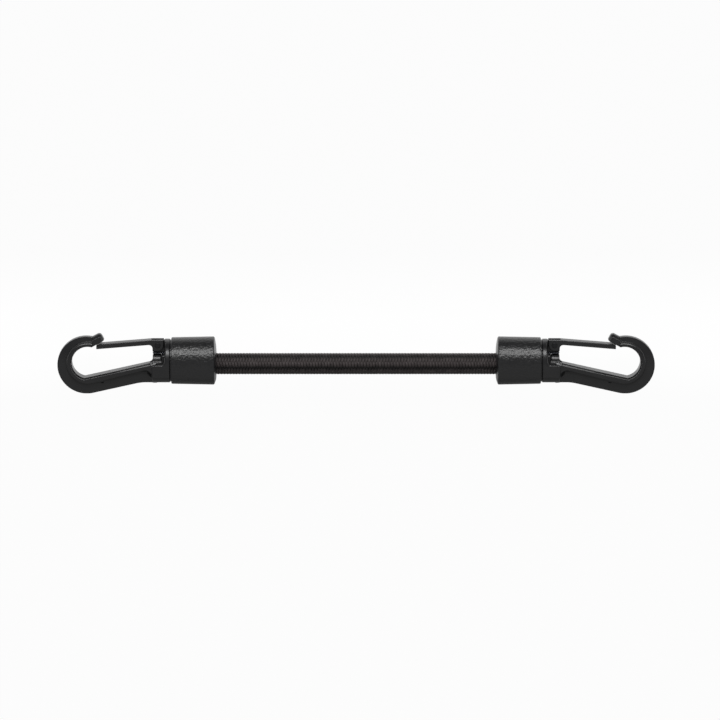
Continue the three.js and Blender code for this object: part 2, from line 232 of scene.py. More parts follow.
# Places on the frame
_, AXIS_V, AXIS_N = in_mm(joints["right_hook_swivel"]["pos_m"])
PIVOT = in_mm(joints["right_gate_hinge"]["pos_m"])[:2] - (0, AXIS_V)
(CAP_FACE, _, _), (CAP_MOUTH, _, CAP_RADIUS) = node_box("right_end_cap")
(FERRULE_START, _, _), (FERRULE_END, _, FERRULE_RADIUS) = node_box("right_cord_ferrule")
(_, CORD_LOW, _), (CORD_END, CORD_HIGH, _) = node_box("cord_sheath")
NECK_START = node_box("right_hook_body")[0][0]
HEAD_END = node_box("right_swivel_stud")[1][0]
CORD_V = (CORD_LOW + CORD_HIGH) / 2 - CORD_SETTLING
BRAID_RADIUS = CORD_DIAMETER / 2 + YARN_PROUD
NECK_END = NECK_START + NECK_LENGTH
STUD_SEAT = NECK_START + STUD_WALL
GATE_SEAT = PIVOT[0] - ROOT_RADIUS - RUNNING_GAP
ROOT_UNDERSIDE = PIVOT[1] - ROOT_RADIUS
LEAF_MIDDLE = ROOT_UNDERSIDE - 2 * RUNNING_GAP - LEAF_THICKNESS / 2
BEAD_RADIUS = EYE_RADIUS + BEAD_SETBACK + BEAD_WIDTH
RING_RADIUS = EYE_RADIUS + (CROWN_WALL + HEEL_WALL) / 2
EYE = np.array((NECK_END + EYE_LENGTH - EYE_RADIUS, -EYE_DROP))
RING = EYE + (EYE_RADIUS + TIP_WALL - RING_RADIUS, (CROWN_WALL - HEEL_WALL) / 2)
LIP_CENTRE = np.array((EYE[0] - LIP_SETBACK, LIP_RISE))
LIP_ALONG = np.array((math.cos(math.radians(LIP_ANGLE)), -math.sin(math.radians(LIP_ANGLE))))
LIP_UP = np.array((-LIP_ALONG[1], LIP_ALONG[0]))


class Socket:
    """An output of a node, with the sums that the finishes use."""

    def __init__(self, web, link):
        self.web = web
        self.link = link

    def sum(self, operation, *others):
        return self.web.node("ShaderNodeMath", {"operation": operation}, dict(enumerate((self, *others))))

    def __add__(self, other):
        return self.sum("ADD", other)

    def __mul__(self, other):
        return self.sum("MULTIPLY", other)

    def __sub__(self, other):
        return self.sum("SUBTRACT", other)

    def __rsub__(self, other):
        return self * -1 + other

    def __abs__(self):
        return self.sum("ABSOLUTE")

    def above(self, floor):
        return self.sum("MAXIMUM", floor)

    def below(self, ceiling):
        return self.sum("MINIMUM", ceiling)

    __radd__ = __add__
    __rmul__ = __mul__


class NodeWeb:
    """The nodes of a material or of the world."""

    def __init__(self, owner):
        owner.use_nodes = True
        self.tree = owner.node_tree

    def node(self, kind, settings=None, values=None, output=0):
        made = self.tree.nodes.new(kind)
        for key, value in (settings or {}).items():
            if key == "stops":
                self.set_stops(made.color_ramp, value)
            else:
                setattr(made, key, value)
        for socket, value in (values or {}).items():
            self.feed(made.inputs[socket], value)
        return Socket(self, made.outputs[output])

    def set_stops(self, ramp, stops):
        while len(ramp.elements) < len(stops):
            ramp.elements.new(0.5)
        for element, (position, shade) in zip(ramp.elements, stops):
            element.position = position
            element.color = (*shade, 1)

    def feed(self, socket, value):
        if isinstance(value, Socket):
            self.tree.links.new(value.link, socket)
        else:
            socket.default_value = value

    def colour(self, share, *stops):
        return self.node("ShaderNodeValToRGB", {"stops": stops}, {"Fac": share})

    def ray(self, kind):
        return self.node("ShaderNodeLightPath", output=f"Is {kind} Ray")


class Finish(NodeWeb):
    """A material of one principled surface."""

    def __init__(self, name, **constants):
        self.material = bpy.data.materials.new(name)
        super().__init__(self.material)
        self.surface = self.tree.nodes["Principled BSDF"]
        self.paint(**constants)

    def place(self):
        return self.node("ShaderNodeTexCoord", output="Object")

    def noise(self, place, size_mm, detail=2, roughness=0.5):
        values = {"Vector": place, "Scale": 1 / (size_mm * MM), "Detail": detail, "Roughness": roughness}
        return self.node("ShaderNodeTexNoise", None, values)

    def attribute(self, name):
        return self.node("ShaderNodeAttribute", {"attribute_name": name}, output="Fac")

    def bump(self, height, depth_mm, under=None):
        values = {"Height": height, "Distance": depth_mm * MM, "Strength": 1.0}
        if under:
            values["Normal"] = under
        return self.node("ShaderNodeBump", None, values)

    def painted_edge_highlight(self, start):
        """A painted highlight: from nothing on flat faces to one on sharp outer edges."""
        edge = self.node("ShaderNodeNewGeometry", output="Pointiness")
        return ((edge - start) * EDGE_HIGHLIGHT_GAIN).above(0).below(1)

    def paint(self, **sockets):
        for socket, value in sockets.items():
            self.feed(self.surface.inputs[socket.replace("_", " ")], value)
        return self.material


def satin_nylon():
    finish = Finish("satin_nylon", IOR=1.5)
    place = finish.place()
    cloud = finish.noise(place, size_mm=3.5, detail=4)
    speck = finish.noise(place, size_mm=0.16, detail=3, roughness=0.7)
    flow = finish.noise(place, size_mm=1.1, detail=3)
    across = finish.node("ShaderNodeSeparateXYZ", None, {"Vector": place}, "Z")
    parting_line = (1 - abs(across) * (1 / (PARTING_WIDTH * MM))).above(0)
    # Sharp edges lightened in patches: a painted edge highlight
    edge_highlight = finish.painted_edge_highlight(0.53) * flow
    shade = finish.colour(
        0.75 * cloud + 0.5 * edge_highlight,
        (0.2, (0.0095, 0.0095, 0.0102)),
        (0.6, (0.0135, 0.0135, 0.0142)),
        (1.0, (0.022, 0.022, 0.023)),
    )
    rough = 0.24 + 0.06 * flow + 0.03 * speck
    relief = finish.bump(flow, depth_mm=0.004)
    relief = finish.bump(speck, depth_mm=0.0006, under=relief)
    relief = finish.bump(parting_line, depth_mm=0.03, under=relief)
    return finish.paint(Base_Color=shade, Roughness=rough, Normal=relief)


def eroded_nylon():
    finish = Finish("eroded_nylon", IOR=1.5)
    place = finish.place()
    grain = finish.noise(place, size_mm=0.9, detail=2, roughness=0.55)
    pit = finish.noise(place, size_mm=0.2, detail=2, roughness=0.6)
    cloud = finish.noise(place, size_mm=4, detail=3)
    # Sharp edges lightened in patches: a painted edge highlight
    edge_highlight = finish.painted_edge_highlight(0.54) * grain
    shade = finish.colour(
        0.75 * grain + 0.4 * edge_highlight,
        (0.22, (0.0095, 0.0095, 0.0102)),
        (0.55, (0.0145, 0.0145, 0.0152)),
        (1.0, (0.024, 0.024, 0.025)),
    )
    rough = 0.24 + 0.06 * grain + 0.06 * cloud
    relief = finish.bump(grain, depth_mm=0.21)
    relief = finish.bump(pit, depth_mm=0.008, under=relief)
    return finish.paint(Base_Color=shade, Roughness=rough, Normal=relief)


def braided_yarn():
    finish = Finish("braided_yarn", Specular_IOR_Level=0.25, Sheen_Weight=0.1, Sheen_Roughness=0.4)
    round_yarn = finish.attribute("round_yarn")
    along_yarn = finish.attribute("along_yarn")
    in_groove = finish.attribute("in_groove")
    place = finish.node("ShaderNodeCombineXYZ", None, {"X": along_yarn * 0.12, "Y": round_yarn})
    values = {"Vector": place, "Scale": 16, "Detail": 3, "Roughness": 0.6}
    fibres = finish.node("ShaderNodeTexNoise", None, values)
    dye = finish.noise(finish.place(), size_mm=2.2, detail=3)
    # The yarn's colour is darkened in the braid's grooves: painted shade
    shade = finish.colour(
        0.5 * fibres + 0.5 * dye - 0.45 * in_groove,
        (0.1, (0.006, 0.005, 0.005)),
        (0.3, (0.018, 0.0145, 0.0145)),
        (0.5, (0.04, 0.033, 0.033)),
        (0.75, (0.07, 0.059, 0.059)),
    )
    rough = 0.5 + 0.2 * fibres
    return finish.paint(Base_Color=shade, Roughness=rough, Normal=finish.bump(fibres, depth_mm=0.05))


def natural_rubber():
    finish = Finish("natural_rubber")
    place = finish.place()
    cloud = finish.noise(place, size_mm=1.5, detail=4)
    dust = finish.noise(place, size_mm=0.2, detail=2)
    shade = finish.colour(cloud, (0.3, (0.4, 0.3, 0.17)), (0.7, (0.52, 0.42, 0.26)))
    rough = 0.6 + 0.2 * dust
    return finish.paint(Base_Color=shade, Roughness=rough, Normal=finish.bump(dust, depth_mm=0.02))


def worked_metal(name, dark, light, roughness, scratch_mm):
    finish = Finish(name, Metallic=1.0)
    scratch = finish.noise(finish.place(), size_mm=scratch_mm, detail=4, roughness=0.65)
    shade = finish.colour(scratch, (0.3, dark), (0.7, light))
    rough = roughness + 0.15 * scratch
    return finish.paint(Base_Color=shade, Roughness=rough, Normal=finish.bump(scratch, depth_mm=0.01))


def point(u, v):
    return np.array((u, v))


def arc(centre, radius, start, end):
    count = max(2, math.ceil(abs(end - start) / ARC_STEP))
    angles = np.radians(np.linspace(start, end, count + 1))
    return [centre + radius * point(math.cos(angle), math.sin(angle)) for angle in angles]


def bend(start, control, end):
    """A smooth corner between two points."""
    shares = np.linspace(0, 1, BEND_STEPS + 1)[:, None]
    return list((1 - shares) ** 2 * start + 2 * shares * (1 - shares) * control + shares**2 * end)


def lower_tangent(start, centre, radius):
    """Angle at which a line from a point touches the lower side of a circle."""
    away = start - centre
    angle = math.atan2(away[1], away[0]) + math.acos(radius / math.hypot(*away))
    return math.degrees(angle) % 360 - 360


def towards(start, end):
    return (end - start) / np.linalg.norm(end - start)


def ring_end(radius):
    """Angle at which a circle about the eye meets the lip."""
    return math.degrees(math.acos(-RING_END_SETBACK / radius))


def inner_edge(root_u, setback):
    """From the lip round the eye to a blunt corner and along the spine to a fillet at the neck."""
    radius = EYE_RADIUS + setback
    root = point(NECK_END, -SPINE_ROOT_DROP - setback)
    blunt = math.degrees(math.acos((radius - SPINE_RISE) / radius))
    turn = arc(EYE, radius, ring_end(radius), lower_tangent(root, EYE, radius - SPINE_RISE) + blunt)
    along = towards(root, turn[-1])
    top = root + (0, SPINE_FILLET)
    return [*turn, *bend(root + SPINE_FILLET / along[0] * along, root, top), point(root_u, top[1])]


def outer_edge(root_u, end):
    """From the neck round the knee, along the spine and round the ring."""
    knee = point(NECK_END + KNEE_DISTANCE, -SPINE_DEPTH)
    outer = arc(RING, RING_RADIUS, lower_tangent(knee, RING, RING_RADIUS), end)
    soft = KNEE_DISTANCE / 2
    turn = bend(knee - (soft, 0), knee, knee + soft * towards(knee, outer[0]))
    return [point(root_u, knee[1]), *turn, *outer]


def flange_outline(root_u):
    end = math.degrees(math.acos((EYE[0] - RING_END_SETBACK - RING[0]) / RING_RADIUS))
    return [*outer_edge(root_u, end), *inner_edge(root_u, 0)]


def filled_flange_outline(root_u):
    return [*outer_edge(root_u, FILLED_END_ANGLE), EYE, point(root_u, EYE[1])]


def bead_outer_edge(root_u, end):
    """Beside the inner edge, widening into a gusset at the neck."""
    root = point(NECK_END, -SPINE_ROOT_DROP - BEAD_SETBACK - BEAD_WIDTH)
    turn = arc(EYE, BEAD_RADIUS, lower_tangent(root, EYE, BEAD_RADIUS), end)
    along = towards(root, turn[0])
    gusset = root + GUSSET_LENGTH / along[0] * along
    heel = point(NECK_END, -GUSSET_DROP)
    control = point(NECK_END + GUSSET_LENGTH / 3, gusset[1] + GUSSET_LENGTH / 6)
    return [point(root_u, heel[1]), *bend(heel, control, gusset), *turn]


def bead_outline(root_u):
    return [*bead_outer_edge(root_u, ring_end(BEAD_RADIUS)), *inner_edge(root_u, BEAD_SETBACK)]


def filled_bead_outline(root_u):
    return [*bead_outer_edge(root_u, FILLED_END_ANGLE), EYE, point(root_u, EYE[1])]


def gate_outline():
    """The arm runs from the neck to the lip, and its tip is bevelled to lie under the lip."""
    under_lip = LIP_CENTRE - LIP_UP * (LIP_THICKNESS / 2 + LIP_GAP)
    tip_top = under_lip + LIP_ALONG * (GATE_REACH - LIP_LENGTH / 2)
    bevel = tip_top - LIP_ALONG * GATE_BEVEL
    top = point(NECK_END, GATE_TOP)
    along = towards(top, bevel)
    under = top - (0, GATE_ARM / along[0])
    front = NECK_END - ROOT_INSET
    fillet = under + along * (front + GATE_FILLET - under[0]) / along[0]
    tip_under = under + along * (tip_top[0] - under[0]) / along[0]
    return [
        point(front, ROOT_UNDERSIDE),
        *bend(point(front, fillet[1] - GATE_FILLET), point(front, fillet[1]), fillet),
        tip_under,
        tip_top,
        bevel,
        top,
        point(PIVOT[0] - ROOT_RADIUS, GATE_TOP),
        *arc(PIVOT, ROOT_RADIUS, 180, 270),
    ]


def leaf_outline():
    under = LEAF_MIDDLE - LEAF_THICKNESS / 2
    over = LEAF_MIDDLE + LEAF_THICKNESS / 2
    start = GATE_SEAT - LEAF_ANCHOR
    end = GATE_SEAT + LEAF_REACH
    curl = end - 2 * LEAF_THICKNESS
    return [
        point(start, under),
        *bend(point(curl, under), point(end, under), point(end, over)),
        point(end, over + RUNNING_GAP),
        point(end - LEAF_THICKNESS, over + RUNNING_GAP),
        point(curl - LEAF_THICKNESS / 2, over),
        point(start, over),
    ]


def flat_field(outline, u, v):
    """Distance from an outline in the UV plane, less than nothing inside it."""
    nearest = np.full(np.broadcast(u, v).shape, np.inf)
    inside = np.zeros(nearest.shape, bool)
    for a, b in zip(outline, [*outline[1:], outline[0]]):
        side = b - a
        length = side @ side
        if length == 0:
            continue
        share = np.clip(((u - a[0]) * side[0] + (v - a[1]) * side[1]) / length, 0, 1)
        away = (u - a[0] - share * side[0]) ** 2 + (v - a[1] - share * side[1]) ** 2
        nearest = np.minimum(nearest, away)
        if side[1] != 0:
            passed = (v < a[1]) != (v < b[1])
            inside ^= passed & (u < a[0] + (v - a[1]) * side[0] / side[1])
    return np.where(inside, -1, 1) * np.sqrt(nearest)


def both(a, b, edge=0.0):
    """What lies inside two shapes, with the corner between them rounded."""
    a = a + edge
    b = b + edge
    return np.minimum(np.maximum(a, b), 0) + np.hypot(np.maximum(a, 0), np.maximum(b, 0)) - edge


def joined(a, b, fillet):
    near = np.maximum(fillet - np.abs(a - b), 0) / fillet
    return np.minimum(a, b) - near * near * fillet / 4


def less(a, b, edge):
    return -joined(-a, b, edge)


def plate(outline, u, v, n, thickness, edge=0.0):
    return both(flat_field(outline, u, v), np.abs(n) - thickness / 2, edge)


def bevel_plane(flat, n, thickness, bevel, depth):
    """The sloping face between a plate's edge and its flat, on both sides of the plate."""
    return (flat * depth + (np.abs(n) - thickness / 2 + depth) * bevel) / math.hypot(bevel, depth)


def drum(u, around, start, end, radius, edge=0.0):
    return both(around - radius, np.abs(u - (start + end) / 2) - (end - start) / 2, edge)


def hook_field(u, v, n):
    root_u = NECK_END - SPINE_FILLET
    shape = neck_field(u, v, n)
    rim = flat_field(filled_flange_outline(root_u), u, v)
    thinning = bevel_plane(rim, n, FLANGE_THICKNESS, RIM_REACH, (FLANGE_THICKNESS - RIM_THICKNESS) / 2)
    spine = plate(flange_outline(root_u), u, v, n, FLANGE_THICKNESS)
    spine = np.maximum(spine, thinning)
    bead = np.maximum(
        plate(bead_outline(root_u), u, v, n, BEAD_THICKNESS),
        plate(filled_bead_outline(root_u), u, v, n, BEAD_THICKNESS, BEAD_OUTER_EDGE),
    )
    shape = joined(shape, np.minimum(spine, bead), 2 * MOULD_FILLET)
    shape = joined(shape, lip_field(u, v, n), MOULD_FILLET)
    shape = joined(shape, web_field(u, v, n), MOULD_FILLET)
    for space in neck_spaces(u, v, n):
        shape = np.maximum(shape, -space)
    flat = np.hypot(u - DIMPLE_PLACE[0], v - DIMPLE_PLACE[1])
    dimple = np.hypot(flat, np.abs(n) - FLANGE_THICKNESS / 2 - DIMPLE_RISE) - DIMPLE_RADIUS
    return np.maximum(shape, -dimple)


def neck_field(u, v, n):
    """The round neck less the gate's room, the window to the stud and the sloping pockets beside it."""
    wall_top = LEAF_MIDDLE - LEAF_THICKNESS / 2 - RUNNING_GAP
    wall_side = STUD_WALL_WIDTH / 2 - np.abs(n)
    shape = drum(u, np.hypot(v, n), NECK_START, NECK_END, NECK_RADIUS, NECK_RIM)
    shape = less(shape, both(GATE_SEAT - u, wall_top - v, MOULD_FILLET) + 0 * n, MOULD_FILLET)
    shape = less(shape, both(STUD_SEAT - u, CRADLE_TOP - v, MOULD_FILLET) + 0 * n, MOULD_FILLET)
    ledge = (CRADLE_TOP - CRADLE_SLOPE * (NECK_RADIUS - np.abs(n)) - v) / math.hypot(1, CRADLE_SLOPE)
    flats = both(both(GATE_SEAT - u, ledge, CRADLE_CORNER), wall_side)
    return less(shape, flats, 3 * MOULD_FILLET)


def lip_field(u, v, n):
    """Bevelled over its top and its free end, and cut back at a slant where it stands proud of the ring."""
    along = (u - LIP_CENTRE[0]) * LIP_ALONG[0] + (v - LIP_CENTRE[1]) * LIP_ALONG[1]
    up = (u - LIP_CENTRE[0]) * LIP_UP[0] + (v - LIP_CENTRE[1]) * LIP_UP[1]
    flat = both(np.abs(along) - LIP_LENGTH / 2, np.abs(up) - LIP_THICKNESS / 2, LIP_CORNER)
    shown = both(-along - LIP_LENGTH / 2, up - LIP_THICKNESS / 2, LIP_BEVEL + LIP_TOP_CORNER)
    bevel = bevel_plane(shown, n, LIP_WIDTH, LIP_BEVEL, LIP_BEVEL_DEPTH)
    slant = math.radians(LIP_END_ANGLE)
    end = LIP_END_REACH - along * math.cos(slant) - up * math.sin(slant)
    shape = np.maximum(both(shown, bevel, LIP_EDGE), -both(end, RIM_THICKNESS / 2 - np.abs(n)))
    shape = np.maximum(shape, flat)
    return both(shape, np.abs(n) - LIP_WIDTH / 2, LIP_EDGE)


def web_field(u, v, n):
    """The web that carries the gate's pin."""
    back = (NECK_START + GATE_SEAT) / 2
    flat = both(u - PIVOT[0] - WEB_RADIUS, v - PIVOT[1] - WEB_RADIUS, WEB_RADIUS)
    flat = np.maximum(np.maximum(flat, back - u), -v)
    return both(flat, np.abs(n) - WEB_THICKNESS / 2, WEB_EDGE)


def pin_hole(u, v, n):
    return np.hypot(u - PIVOT[0], v - PIVOT[1]) - PIN_RADIUS - PIN_CLEARANCE + 0 * n


def neck_spaces(u, v, n):
    """The post's hole, the head's pocket, the spigot's seat, the leaf's slot and the pin's hole."""
    around = np.hypot(v, n)
    past = NECK_START - CUT_PAST
    spigot_seat = NECK_START + SPIGOT_DEPTH + RUNNING_GAP
    slot_half = (LEAF_THICKNESS + RUNNING_GAP) / 2
    slot = both(np.abs(v - LEAF_MIDDLE) - slot_half, np.abs(n) - LEAF_WIDTH / 2 - RUNNING_GAP)
    slot_start = GATE_SEAT - LEAF_ANCHOR - RUNNING_GAP
    return (
        drum(u, around, past, HEAD_END, STUD_RADIUS + STUD_CLEARANCE),
        drum(u, around, STUD_SEAT, NECK_END + CUT_PAST, STUD_HEAD_RADIUS + RUNNING_GAP),
        drum(u, around, past, spigot_seat, SPIGOT_RADIUS + RUNNING_GAP),
        np.maximum(slot, np.maximum(slot_start - u, u - GATE_SEAT)),
        pin_hole(u, v, n),
    )


def gate_field(u, v, n):
    shape = plate(gate_outline(), u, v, n, GATE_WIDTH, GATE_EDGE)
    fork_end = PIVOT[0] + WEB_RADIUS + FORK_CLEARANCE
    slot = both(u - fork_end, np.abs(n) - FORK_SLOT / 2, GATE_EDGE) + 0 * v
    return np.maximum(np.maximum(shape, -slot), -pin_hole(u, v, n))


def stud_field(u, v, n):
    around = np.hypot(v, n)
    start = CAP_MOUTH - PLUG_THICKNESS
    edge = RUNNING_GAP / 2
    shape = drum(u, around, start, CAP_MOUTH, PLUG_RADIUS, edge)
    pieces = (
        drum(u, around, start, NECK_START + SPIGOT_DEPTH, SPIGOT_RADIUS, edge),
        drum(u, around, start, HEAD_END, STUD_RADIUS, edge),
        drum(u, around, STUD_SEAT + STUD_HEAD_GAP, HEAD_END, STUD_HEAD_RADIUS, STUD_HEAD_EDGE),
    )
    for piece in pieces:
        shape = joined(shape, piece, edge)
    slit = both(STUD_SEAT + STUD_HEAD_GAP - u, np.abs(v) - STUD_SLIT / 2, edge) + 0 * n
    return less(shape, slit, edge)


def leaf_field(u, v, n):
    strip = plate(leaf_outline(), u, v, n, LEAF_WIDTH, LEAF_EDGE)
    web_room = WEB_THICKNESS / 2 + RUNNING_GAP
    slit = both(GATE_SEAT - RUNNING_GAP - u, np.abs(n) - web_room, LEAF_EDGE) + 0 * v
    return less(strip, slit, LEAF_EDGE)


def skin_of(field, low, high, step):
    """Points and faces of the surface where a field crosses nothing, one point in each crossed cell."""
    axes = [np.arange(a - 1.5 * step, b + 2.5 * step, step) for a, b in zip(low, high)]
    values = field(*np.meshgrid(*axes, indexing="ij", sparse=True))
    inside = values < 0
    corners = [np.array(corner) for corner in np.ndindex(2, 2, 2)]
    size = np.array(inside.shape) - 1
    count = np.zeros(size, int)
    for corner in corners:
        count += inside[tuple(slice(a, a + s) for a, s in zip(corner, size))]
    crossed = (count > 0) & (count < len(corners))
    cells = np.argwhere(crossed)
    order = np.full(crossed.shape, -1)
    order[crossed] = np.arange(len(cells))
    total = np.zeros((len(cells), 3))
    hits = np.zeros((len(cells), 1))
    edges = [(a, b) for a in corners for b in corners if np.abs(b - a).sum() == 1 and (b >= a).all()]
    for a, b in edges:
        before = values[tuple((cells + a).T)]
        after = values[tuple((cells + b).T)]
        crosses = (before < 0) != (after < 0)
        share = np.where(crosses, before / np.where(crosses, before - after, 1), 0)
        total += crosses[:, None] * (a + share[:, None] * (b - a))
        hits += crosses[:, None]
    points = np.array([axis[0] for axis in axes]) + step * (cells + total / hits)
    faces = np.concatenate([crossing_faces(inside, order, axis) for axis in range(3)])
    return np.clip(settled(field, points, step), low, high), faces


def slope_of(field, points, step):
    """The field's slope at each point, which points out of the shape."""
    reach = step / 8
    slopes = []
    for move in np.eye(3) * reach:
        slopes.append((field(*(points + move).T) - field(*(points - move).T)) / (2 * reach))
    return np.stack(slopes, 1)


def unit(vectors):
    return vectors / np.linalg.norm(vectors, axis=1)[:, None]


def settled(field, points, step):
    """The points, moved onto the surface along the field's slope."""
    for _ in range(SETTLING_PASSES):
        slope = slope_of(field, points, step)
        steepness = np.maximum((slope * slope).sum(1), LEAST_STEEPNESS)
        shift = np.clip(field(*points.T) / steepness, -step / 2, step / 2)
        points = points - shift[:, None] * slope
    return points


def crossing_faces(inside, order, axis):
    """One face round each edge of the grid along an axis that goes in or out of the shape."""
    across = (axis + 1) % 3
    over = (axis + 2) % 3
    lower = np.take(inside, range(inside.shape[axis] - 1), axis)
    upper = np.take(inside, range(1, inside.shape[axis]), axis)
    places = np.argwhere(lower != upper)

    def cell(back_across, back_over):
        moved = places.copy()
        moved[:, across] -= back_across
        moved[:, over] -= back_over
        return order[tuple(moved.T)]

    faces = np.stack([cell(1, 1), cell(0, 1), cell(0, 0), cell(1, 0)], 1)
    leaves = lower[tuple(places.T)]
    return np.where(leaves[:, None], faces, faces[:, ::-1])


def mesh_of(name, points, faces, material):
    mesh = bpy.data.meshes.new(name)
    mesh.from_pydata((np.asarray(points) * MM).tolist(), [], [list(face) for face in faces])
    mesh.materials.append(material)
    mesh.shade_smooth()
    return mesh


def moulding(name, field, node, step, material):
    """A mesh of a distance field over the box of the right end's node, shaded by the field's slope."""
    points, faces = skin_of(field, *node_box(f"right_{node}"), step)
    mesh = mesh_of(name, points, faces, material)
    mesh.normals_split_custom_set(shading(field, points, faces, step).tolist())
    return mesh


def shading(field, points, faces, step):
    """The normal at each corner of each face: the point's own, or the face's where there is a crease."""
    at_points = unit(slope_of(field, points, step))[faces]
    at_faces = unit(slope_of(field, points[faces].mean(1), step))[:, None]
    smooth = (at_points * at_faces).sum(2, keepdims=True) > math.cos(math.radians(CREASE_ANGLE))
    return np.where(smooth, at_points, at_faces).reshape(-1, 3)


def turned(name, profile, material, offsets=0.0):
    """A closed profile of (place along the axis, radius), turned about an axis offset from the caps'."""
    angles = np.arange(TURNED_SIDES) * 2 * math.pi / TURNED_SIDES
    along, radius = np.array(profile).T
    rings = np.empty((len(along), TURNED_SIDES, 3))
    rings[:, :, 0] = along[:, None]
    rings[:, :, 1] = np.reshape(offsets, (-1, 1)) + radius[:, None] * np.cos(angles)
    rings[:, :, 2] = radius[:, None] * np.sin(angles)
    faces = ring_faces(len(along), TURNED_SIDES, closed=True)
    mesh = mesh_of(name, rings.reshape(-1, 3), faces, material)
    mesh.set_sharp_from_angle(angle=math.radians(CREASE_ANGLE))
    return mesh


def ring_faces(rings, sides, closed=False):
    """Faces between rings of points, each ring joined to the next and, if closed, the last to the first."""
    ring, side = np.meshgrid(np.arange(rings if closed else rings - 1), np.arange(sides), indexing="ij")
    after = (ring + 1) % rings
    beside = (side + 1) % sides
    corners = (ring * sides + side, after * sides + side, after * sides + beside, ring * sides + beside)
    return np.stack(corners, axis=2).reshape(-1, 4)


def cap_profile():
    """The profile, and how far each of its points is from the caps' axis towards the cord's."""
    hole = BRAID_RADIUS + CORD_HOLE_CLEARANCE
    rim_start = CAP_FACE + CAP_CROWN
    rim = point(rim_start + CAP_CORD_RIM, CAP_RADIUS - CAP_CORD_RIM)
    mouth = point(CAP_MOUTH - CAP_HOOK_RIM, CAP_HOOK_DIAMETER / 2 - CAP_HOOK_RIM)
    floor = CAP_FACE + CAP_END_WALL
    lead = point(CAP_FACE + CORD_HOLE_RIM, hole + CORD_HOLE_RIM)
    dome = bend(
        point(CAP_FACE, lead[1]),
        point(CAP_FACE, (hole + CAP_RADIUS) / 2),
        point(rim_start, rim[1]),
    )
    cup = [
        *arc(rim, CAP_CORD_RIM, 180, 90)[1:],
        *arc(mouth, CAP_HOOK_RIM, 90, 0),
        point(CAP_MOUTH, SEAL_RADIUS),
        point(CAP_MOUTH + SEAL_LENGTH, SEAL_RADIUS),
        point(CAP_MOUTH + SEAL_LENGTH, CAP_BORE / 2),
        point(floor, CAP_BORE / 2),
    ]
    cord_way = [point(floor, hole), *arc(lead, CORD_HOLE_RIM, 270, 180)[:-1]]
    offsets = [*np.linspace(CORD_V, 0, len(dome)), *[0] * len(cup), *[CORD_V] * len(cord_way)]
    return [*dome, *cup, *cord_way], offsets


def ferrule_profile():
    places = np.linspace(FERRULE_START, FERRULE_END, STEPS_PER_CRIMP * CRIMP_COUNT + 1)
    turns = (places - FERRULE_START) / (FERRULE_END - FERRULE_START) * CRIMP_COUNT * 2 * math.pi
    waist = FERRULE_RADIUS - CRIMP_DEPTH * np.clip(-np.cos(turns), 0, 1)
    outside = [point(u, radius) for u, radius in zip(places, waist)]
    return [point(FERRULE_START, BRAID_RADIUS), *outside, point(FERRULE_END, BRAID_RADIUS)]


def pin_profile():
    half = GATE_WIDTH / 2 + PIN_PROUD
    shank = PIN_RADIUS - PIN_EDGE
    axis_radius = 0.01
    tail = arc(point(PIN_EDGE - half, shank), PIN_EDGE, 180, 90)
    head = arc(point(half - PIN_EDGE, shank), PIN_EDGE, 90, 0)
    return [point(-half, axis_radius), *tail, *head, point(half, axis_radius)]


def at_end(mesh, side, piece, body, node):
    """A piece of one end of the bungee, turned about V for the left end."""
    made = bpy.data.objects.new(f"{side}_{piece}", mesh)
    bpy.context.scene.collection.objects.link(made)
    made.location = (0, AXIS_V * MM, AXIS_N * MM)
    made.rotation_euler = (0, math.pi if side == "left" else 0, 0)
    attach(made, f"{side}_{body}")
    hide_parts(f"{side}_{node}")


def ends():
    nylon = satin_nylon()
    grained = eroded_nylon()
    black_steel = worked_metal(
        "blackened_steel", (0.03, 0.03, 0.031), (0.055, 0.055, 0.057), roughness=0.38, scratch_mm=0.3
    )
    blue_steel = worked_metal(
        "blued_steel", (0.05, 0.055, 0.065), (0.1, 0.105, 0.12), roughness=0.3, scratch_mm=0.4
    )
    aluminium = worked_metal(
        "crimped_aluminium", (0.42, 0.43, 0.44), (0.56, 0.57, 0.58), roughness=0.3, scratch_mm=0.5
    )
    profile, offsets = cap_profile()
    cap = turned("grained_cap", profile, grained, offsets)
    ferrule = turned("crimped_ferrule", ferrule_profile(), aluminium, CORD_V)
    pin = turned("headed_pin", pin_profile(), black_steel)
    pin.transform(Matrix.Translation((*PIVOT * MM, 0)) @ Matrix.Rotation(-math.pi / 2, 4, "Y"))
    stud = moulding("split_stud", stud_field, "swivel_stud", STUD_STEP, nylon)
    hook = moulding("moulded_hook", hook_field, "hook_body", HOOK_STEP, nylon)
    gate = moulding("moulded_gate", gate_field, "gate", GATE_STEP, nylon)
    leaf = moulding("forked_leaf", leaf_field, "gate_spring", LEAF_STEP, blue_steel)
    for side in ("left", "right"):
        at_end(cap, side, "grained_cap", "end", "end_cap")
        at_end(ferrule, side, "crimped_ferrule", "end", "cord_ferrule")
        at_end(stud, side, "split_stud", "end", "swivel_stud")
        at_end(hook, side, "moulded_hook", "hook", "hook_body")
        at_end(gate, side, "moulded_gate", "gate", "gate")
        at_end(pin, side, "headed_pin", "hook", "gate_pin")
        at_end(leaf, side, "forked_leaf", "hook", "gate_spring")


def turn_about_cord(lead, way, places):
    return lead + way * 2 * math.pi / YARN_PITCH * places


def wale(angle):
    """How far round the cord a place is, in turns from one groove of the braid to the next."""
    return YARNS_EACH_WAY * (angle - math.radians(BRAID_TURN))


def groove(angle):
    return ((1 + np.sin(wale(angle))) / 2) ** GROOVE_SHARPNESS


